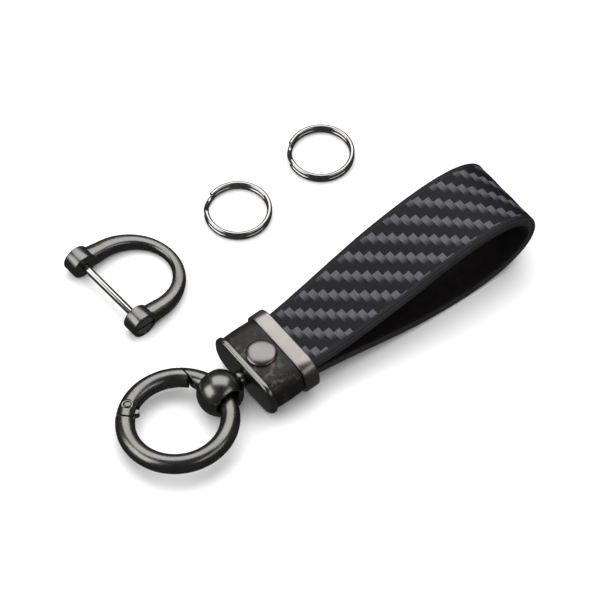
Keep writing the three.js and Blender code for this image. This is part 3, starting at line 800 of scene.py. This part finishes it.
def makeSwivel():
    openAngle = asin(bead["half"] / bead["radius"])
    profile = []
    for k in range(37):
        a = -openAngle + 2 * openAngle * k / 36
        profile.append((bead["radius"] * cos(a), bead["radius"] * sin(a)))
    rim = bead["radius"] * cos(openAngle) - bead["rimLand"]
    for k in range(29):
        y = bead["half"] * (1 - k / 14)
        past = max(abs(y) / bead["half"] - bead["flareFrom"], 0) / (1 - bead["flareFrom"])
        profile.append((boreAt(y) + (rim - boreAt(bead["half"])) * past ** 2, y))
    ball = turned(profile, "Y", 128, closed=True)
    easeEdges(ball, bead["ease"], 40, 3)
    bmesh.ops.translate(ball, vec=(bead["place"], 0, 0), verts=ball.verts)
    clear = bead["stemClear"]
    ball = combined(ball, ("DIFFERENCE", rod(bead["stem"] + clear, bead["stemTip"] - clear, 2, "X")))
    addPiece("swivelBead", ball, swivelFrame, "swivel", ["swivel_bead"], [blackNickelPlate])

    seat = bead["radius"] + bead["collarGap"]
    inner = bead["stem"] + bead["collarClear"]
    arc = []
    for k in range(7):
        r = inner + (bead["collar"] - inner) * k / 6
        arc.append((r, bead["place"] + sqrt(seat ** 2 - r ** 2)))
    ends = [(bead["collar"], bead["collarEnds"][0]), (inner, bead["collarEnds"][1])]
    collar = turned(arc + ends, "X", 96, closed=True)
    easeEdges(collar, bead["collarEase"], 40, 3)
    addPiece("swivelCollar", collar, swivelFrame, "swivel", ["swivel_collar"],
             [blackNickelPlate])

    shoulder = clamp["plate"] + bead["headGap"]
    top = shoulder + bead["headDepth"]
    stem = turned([(0, bead["stemTip"]), (bead["stem"], bead["stemTip"]), (bead["stem"], shoulder),
                   (bead["head"], shoulder), (bead["head"], top - bead["headEase"]),
                   (bead["head"] - bead["headEase"], top), (0, top)], "X", 64)
    addPiece("swivelStem", stem, swivelFrame, "swivel", ["swivel_stem"], [polishedNickelSteel])


makeSwivel()
print("swivel made")


def wireCircle(bm, sides, radius, angle, place):
    # the first thing in bm: a circle across a wire that runs round Z, turned to the angle
    stand = Matrix.Rotation(radians(angle), 4, "Z") @ Matrix.Translation(place)
    stand = stand @ Matrix.Rotation(pi / 2, 4, "X")
    bmesh.ops.create_circle(bm, segments=sides, radius=radius, cap_ends=False, matrix=stand)
    return list(bm.verts) + list(bm.edges)


def arcTube(start, end, wire, clear=0.0):
    # part of the ring's round wire between two angles, ends closed
    bm = bmesh.new()
    row = wireCircle(bm, ring["sides"], wire - clear, start, (ring["radius"], 0, 0))
    bmesh.ops.spin(
        bm, geom=row, cent=(0, 0, 0), axis=(0, 0, 1), dvec=(0, 0, 0),
        angle=radians(end - start), steps=ceil((end - start) / ring["degreesPerStep"]),
        use_merge=False, use_duplicate=False,
    )
    return closeUp(bm)


def trimmed(bm, plane, keep, near):
    # cuts off what lies beyond the plane, on the near part only, and closes the cut
    geometry = [part for part in list(bm.verts) + list(bm.edges) + list(bm.faces)
                if near(part.co if isinstance(part, bmesh.types.BMVert) else
                        sum((v.co for v in part.verts), Vector()) / len(part.verts))]
    bmesh.ops.bisect_plane(bm, geom=geometry, dist=0.0001, plane_co=plane, plane_no=keep,
                           clear_inner=True, clear_outer=False)
    return closeUp(bm)


def pinCentre():
    a = radians(ring["pinAngle"])
    return Vector((ring["radius"] * cos(a), ring["radius"] * sin(a), 0))


def atPin(radius, bottom, top, steps=64):
    return rod(radius, bottom, top, "Z", pinCentre(), steps)


def pinFan(start, end, length):
    centre = pinCentre()
    fan = [(centre.x, centre.y)]
    for k in range(9):
        a = radians(start + (end - start) * k / 8)
        fan.append((centre.x + length * cos(a), centre.y + length * sin(a)))
    return fan


def makeRing():
    centre = pinCentre()
    toBody = ring["pinAngle"] + 90
    body = arcTube(ring["pinAngle"], ring["bodyTo"], ring["wire"])
    body = trimmed(body, (ring["bodyCut"], 0, 0), (1, 0, 0), lambda co: co.x > 0 and co.y > 2)
    easeEdges(body, ring["endEase"], 50, 4, lambda edge: edge.verts[0].co.x > 9 and edge.verts[0].co.y > 4)
    slab = prism([(-30, 0), (0, 0), (0, 30), (-30, 30)], -ring["tongueHalf"], ring["tongueHalf"])
    tongueTo = ring["pinAngle"] + ring["tongueRun"]
    tongue = arcTube(ring["pinAngle"], tongueTo, ring["wire"], ring["tongueInset"])
    tongue = combined(tongue, ("UNION", atPin(ring["tongueRadius"], -3, 3)))
    tongue = combined(tongue, ("INTERSECT", slab))
    nubTurn = radians(ring["nubAngle"])
    nub = rod(ring["nubRadius"], -ring["tongueHalf"] + 0.01, ring["tongueHalf"] - 0.01, "Z",
              centre + ring["nubReach"] * Vector((cos(nubTurn), sin(nubTurn), 0)), 32)
    body = combined(body, ("DIFFERENCE", atPin(ring["shoulder"], -throughAll, throughAll, 96)),
                    ("UNION", tongue), ("UNION", nub),
                    ("DIFFERENCE", atPin(ring["pinRadius"] + 0.06, -throughAll, throughAll)))
    easeEdges(body, ring["hingeEase"], 40, 2, lambda edge: edge.verts[0].co.x < 0 and edge.verts[0].co.y > 4)
    addPiece("ringBody", body, ringFrame, "spring_ring", ["ring_body"], [blackNickelPlate])

    gate = arcTube(ring["tipAngle"], ring["gateTo"], ring["wire"])
    gate = trimmed(gate, (ring["gateCut"], 0, 0), (-1, 0, 0), lambda co: co.x > 0)
    easeEdges(gate, ring["endEase"], 50, 4, lambda edge: edge.verts[0].co.x > 5)
    beyond = prism([(-40, -5), (centre.x, -5), (centre.x, 40), (-40, 40)], -12, 12)
    beyond = combined(beyond, ("DIFFERENCE", atPin(ring["heel"], -20, 20, 96)))
    fan = prism(pinFan(toBody - 90, toBody + 121, ring["radius"]), -ring["slotHalf"], ring["slotHalf"])
    half = ring["slotHalf"] - 0.0004  # a hair thinner, so that no two faces are in one plane
    slot = combined(fan, ("UNION", atPin(ring["slotRadius"], -half, half)))
    bore = rod(ring["boreRadius"], ring["boreFrom"], ring["boreTo"], "X", (0, 0, 0), 32)
    bmesh.ops.rotate(bore, cent=(0, 0, 0), matrix=Matrix.Rotation(radians(ring["boreAngle"]), 3, "Z"),
                     verts=bore.verts)
    bmesh.ops.translate(bore, vec=centre, verts=bore.verts)
    gate = combined(gate, ("DIFFERENCE", beyond), ("DIFFERENCE", slot),
                    ("DIFFERENCE", atPin(ring["pinHoleRadius"], -throughAll, throughAll)),
                    ("DIFFERENCE", atPin(ring["sinkRadius"], ring["sinkFrom"], throughAll)),
                    ("DIFFERENCE", atPin(ring["sinkRadius"], -throughAll, -ring["sinkFrom"])),
                    ("DIFFERENCE", bore))
    easeEdges(gate, ring["hingeEase"], 40, 2, lambda edge: edge.verts[0].co.x < 0)
    addPiece("ringGate", gate, ringFrame, "gate", ["ring_gate"], [blackNickelPlate])

    tip = ring["wire"] * 0.97  # the pin's ends are peened to a low dome
    domed = [(0, tip), (ring["pinRadius"] * 0.7, tip - 0.04), (ring["pinRadius"], tip - 0.22)]
    pin = turned([(r, -z) for r, z in domed] + domed[::-1], "Z", 48)
    bmesh.ops.translate(pin, vec=centre, verts=pin.verts)
    addPiece("gateHingePin", pin, ringFrame, "spring_ring", ["gate_hinge_pin"],
             [blackNickelPlate], 50)


makeRing()
print("spring ring made")


shackle = {
    "span": 22.6,
    "lugRadius": 4.15,
    "lugLength": 5.0,
    "bowReach": 7.7,
    "bowDepth": 14.6,
    "bowWire": 1.66,  # half thickness at the middle, and at the lugs
    "bowRoot": 2.88,
    "bowInset": 0.3,
    "squareness": 0.35,
    "flatAt": 1.08,
    "legShare": 0.2,
    "lugEase": 0.4,
    "boreEase": 0.10,
    "pin": 1.1,
    "pinClear": 0.15,
    "pinEase": 0.12,
    "pinTip": 0.3,
    "pinShort": 1.6,  # the pin ends this far inside the lug's face
    "blind": 1.4,  # metal left beyond the pin's hole
    "headShare": 0.75,
    "headSunk": 0.1,
    "headDepth": 1.5,
    "slotWidth": 0.9,
    "slotDepth": 0.7,
}


def bowSwell(t):
    # thickness against that of the middle, t from 0 at one lug to 1 at the other
    return 1 + (shackle["bowRoot"] / shackle["bowWire"] - 1) * abs(cos(pi * t)) ** 1.5


def shackleFrame():
    # lies on the lugs' rims and the bow's far side
    across = -Vector(joints["shackle_pin_turn"]["axis"])
    level = across.cross(Vector((0, 0, 1)))
    slopes = []
    for k in range(33):
        t = shackle["legShare"] + (1 - 2 * shackle["legShare"]) * k / 32
        x = shackle["bowReach"] + shackle["bowDepth"] * sin(pi * k / 32)
        half = shackle["bowWire"] * bowSwell(t) * shackle["flatAt"]
        slopes.append(asin((shackle["lugRadius"] - half) / x))
    tilt = min(slopes)
    along = level * cos(tilt) - Vector((0, 0, sin(tilt)))
    return placeFrame(joints["shackle_pin_turn"]["pos_m"], along, along.cross(across))


def makeShackle():
    lugMid = shackle["span"] / 2 + shackle["lugLength"] / 2
    outer = shackle["span"] / 2 + shackle["lugLength"]
    bowHalf = lugMid - shackle["bowInset"]
    reach, thick = shackle["bowReach"], shackle["bowWire"]
    place = shackleFrame()

    bm = bmesh.new()
    stand = Matrix.Translation((0, -bowHalf, 0)) @ Matrix.Rotation(pi / 2, 4, "Y")
    made = bmesh.ops.create_circle(bm, segments=40, radius=1.0, cap_ends=False, matrix=stand)
    for vert in made["verts"]:  # a round section with slightly flattened sides
        u, v = vert.co.y + bowHalf, vert.co.z
        k = thick * min(1 / max(abs(u), abs(v)) ** shackle["squareness"], shackle["flatAt"])
        vert.co = (0, -bowHalf + u * k, v * k)
    row = list(bm.verts) + list(bm.edges)

    def leg(row, step):
        for _ in range(8):
            edges = [part for part in row if isinstance(part, bmesh.types.BMEdge)]
            grown = bmesh.ops.extrude_edge_only(bm, edges=edges)["geom"]
            row = [part for part in grown if not isinstance(part, bmesh.types.BMFace)]
            moved = [part for part in row if isinstance(part, bmesh.types.BMVert)]
            bmesh.ops.translate(bm, vec=(step, 0, 0), verts=moved)
        return row

    row = leg(row, reach / 8)
    row = bmesh.ops.spin(
        bm, geom=row, cent=(reach, 0, 0), axis=(0, 0, 1), dvec=(0, 0, 0), angle=pi, steps=72,
        use_merge=False, use_duplicate=False,
    )["geom_last"]
    leg([part for part in row if not isinstance(part, bmesh.types.BMFace)], -reach / 8)
    for vert in bm.verts:  # drawn out to its depth and thicker towards the lugs
        side = 1 if vert.co.y > 0 else -1
        leave = min(vert.co.x / reach, 1)
        if vert.co.x < reach + 1e-4:
            middle = centre = Vector((vert.co.x, side * bowHalf, 0))
            t = shackle["legShare"] * leave
        else:
            a = atan2(vert.co.y, vert.co.x - reach)
            middle = Vector((reach + bowHalf * cos(a), bowHalf * sin(a), 0))
            centre = Vector((reach + shackle["bowDepth"] * cos(a), bowHalf * sin(a), 0))
            t = 0.5 - (0.5 - shackle["legShare"]) * abs(a) / (pi / 2)
        vert.co = centre + (vert.co - middle) * bowSwell(t)
        vert.co.y += side * shackle["bowInset"] * (1 - leave)
    closeUp(bm)

    lugEdge = [(0, shackle["span"] / 2), (shackle["lugRadius"], shackle["span"] / 2),
               (shackle["lugRadius"], outer), (0, outer)]
    lug = easeEdges(turned(lugEdge, "Y", 96), shackle["lugEase"], 60, 4)
    other = easeEdges(turned([(r, -y) for r, y in lugEdge], "Y", 96), shackle["lugEase"], 60, 4)
    head = shackle["lugRadius"] * shackle["headShare"]
    headEnd = -outer + shackle["headDepth"]
    clear = shackle["pinClear"]
    bm = combined(bm, ("UNION", lug), ("UNION", other),
                  ("DIFFERENCE", rod(shackle["pin"] + clear, -outer - 1, outer - shackle["blind"], "Y")),
                  ("DIFFERENCE", rod(head + clear, -outer - 1, headEnd + clear, "Y")))
    easeEdges(bm, shackle["boreEase"], 45, 2,
              lambda edge: abs(edge.verts[0].co.y) > shackle["span"] / 2 - 1.0)
    addPiece("shackleBody", bm, place, "shackle", ["shackle_body"], [blackNickelPlate])

    face, tip = -outer + shackle["headSunk"], outer - shackle["pinShort"]
    pin = turned([(0, face), (head, face), (head, headEnd), (shackle["pin"], headEnd),
                  (shackle["pin"], tip - shackle["pinTip"]), (shackle["pin"] - shackle["pinTip"], tip),
                  (0, tip)], "Y", 64)
    easeEdges(pin, shackle["pinEase"], 50, 2)
    wide, bottom = shackle["slotWidth"] / 2, face + shackle["slotDepth"]
    slot = prism([(-head - 1, -outer - 1), (head + 1, -outer - 1), (head + 1, bottom),
                  (-head - 1, bottom)], -wide, wide)
    pin = combined(pin, ("DIFFERENCE", slot))
    addPiece("shackleScrewPin", pin, place, "shackle_pin", ["shackle_screw_pin"],
             [polishedNickelSteel])


makeShackle()
print("shackle made")


split = {
    "outside": 10.05,
    "wire": 0.72,
    "gap": 0.07,
    "ramp": 0.5,  # radians over which one turn steps up to the next
    "tailGap": 2.6,  # half thicknesses of wire from the step to the tail
    "ease": 0.16,
    "turns": {"1": 150, "2": 165},  # where each one's wire starts, degrees
}


def makeSplitRing(number, name, body):
    node = f"split_ring_{number}"
    low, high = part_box(node)
    middle = (low + high) / 2
    radius = split["outside"] - split["wire"]
    pitch = 2 * split["wire"] + split["gap"]
    tail = split["tailGap"] * split["wire"] / radius
    bm = bmesh.new()
    row = wireCircle(bm, 24, split["wire"], split["turns"][number], (radius, 0, split["wire"]))
    # one level turn, the step up to the next, and the second turn
    level = 2 * pi - split["ramp"]
    stages = [(level, 150, 0.0), (split["ramp"], 14, pitch), (level - tail, 146, 0.0)]
    for angle, steps, rise in stages:
        row = bmesh.ops.spin(
            bm, geom=row, cent=(0, 0, 0), axis=(0, 0, 1), dvec=(0, 0, rise / steps), angle=angle,
            steps=steps, use_merge=False, use_duplicate=False,
        )["geom_last"]
        row = [part for part in row if not isinstance(part, bmesh.types.BMFace)]
    closeUp(bm)
    easeEdges(bm, split["ease"], 60, 3)
    place = placeFrame((middle.x, middle.y, low.z), (1, 0, 0), (0, 0, 1))
    addPiece(name, bm, place, body, [node], [polishedNickelSteel])


makeSplitRing("1", "splitRingNear", "split_ring_near")
makeSplitRing("2", "splitRingFar", "split_ring_far")
print("split rings made")

# pieces hidden inside the others keep their CAD shape
hiddenPieces = {
    "swivel_washer": polishedNickelSteel, "gate_spring": springSteel, "gate_plunger": springSteel,
}
for node, material in hiddenPieces.items():
    shown = frame["nodes"][node]
    shown.data.materials.clear()
    shown.data.materials.append(material)


studio = {
    "target": Vector((clampFace.x, clampFace.y, 0)) + Vector((32.213, 15.818, 0)) * mm,
    "azimuth": -37.295,
    "elevation": 54.543,
    "distance": 1.0895,
    "lens": 225.7,
    "floorHalf": 3.0,
    "floorDrop": 0.00003,
    "paper": "#f4f4f4",
    "world": "#808080",
    "worldStrength": 0.3,
    "boxDiffuse": 0.4,  # shine from the boxes, soft shade from the ceiling
}
# azimuth (0 is in front, on the -Y side), elevation, distance, width, height and power
softboxes = {
    "keyBox": (142, 60, 1.2, 1.5, 1.1, 11),
    "leftBox": (-110, 34, 1.1, 0.9, 0.7, 5),
    "frontBox": (20, 42, 1.3, 1.0, 0.35, 1.6),
}


def towards(azimuth, elevation):
    # a unit vector from the middle of the scene
    a, e = radians(azimuth), radians(elevation)
    return Vector((sin(a) * cos(e), -cos(a) * cos(e), sin(e)))


def aim(thing, place, target):
    thing.location = place
    thing.rotation_mode = "QUATERNION"
    thing.rotation_quaternion = (Vector(target) - Vector(place)).to_track_quat("-Z", "Y")
    bpy.context.scene.collection.objects.link(thing)


def softbox(name, azimuth, elevation, distance, width, height, power, shines=True):
    light = bpy.data.lights.new(name, "AREA")
    light.shape = "RECTANGLE"
    light.size, light.size_y = width, height
    light.energy = power
    light.diffuse_factor = studio["boxDiffuse"] if shines else 1.0
    lamp = bpy.data.objects.new(name, light)
    lamp.visible_glossy = shines
    aim(lamp, towards(azimuth, elevation) * distance, (0, 0, 0))


def makeStudio():
    bm = bmesh.new()
    bmesh.ops.create_grid(bm, x_segments=1, y_segments=1, size=studio["floorHalf"])
    mesh = bpy.data.meshes.new("floor")
    bm.to_mesh(mesh)
    bm.free()
    material, _, shader = newMaterial("paleStudioPaper")
    shader.inputs["Base Color"].default_value = toLinear(studio["paper"])
    shader.inputs["Roughness"].default_value = 0.9
    mesh.materials.append(material)
    floor = bpy.data.objects.new("floor", mesh)
    floor.location.z = -studio["floorDrop"]
    floor.visible_glossy = False
    bpy.context.scene.collection.objects.link(floor)

    world = bpy.data.worlds.new("studioWorld")
    world.use_nodes = True
    background = world.node_tree.nodes["Background"].inputs
    background["Color"].default_value = toLinear(studio["world"])
    background["Strength"].default_value = studio["worldStrength"]
    bpy.context.scene.world = world
    bpy.context.scene.view_settings.view_transform = "Standard"

    for name, settings in softboxes.items():
        softbox(name, *settings)
    softbox("ceiling", 0, 90, 1.6, 2.8, 2.8, 42, shines=False)

    camera = bpy.data.cameras.new("camera")
    camera.sensor_width = 36
    camera.lens = studio["lens"]
    camera.clip_start, camera.clip_end = 0.05, 20
    camera = bpy.data.objects.new("camera", camera)
    back = towards(studio["azimuth"], studio["elevation"]) * studio["distance"]
    aim(camera, studio["target"] + back, studio["target"])
    bpy.context.scene.camera = camera


makeStudio()
print("studio made")
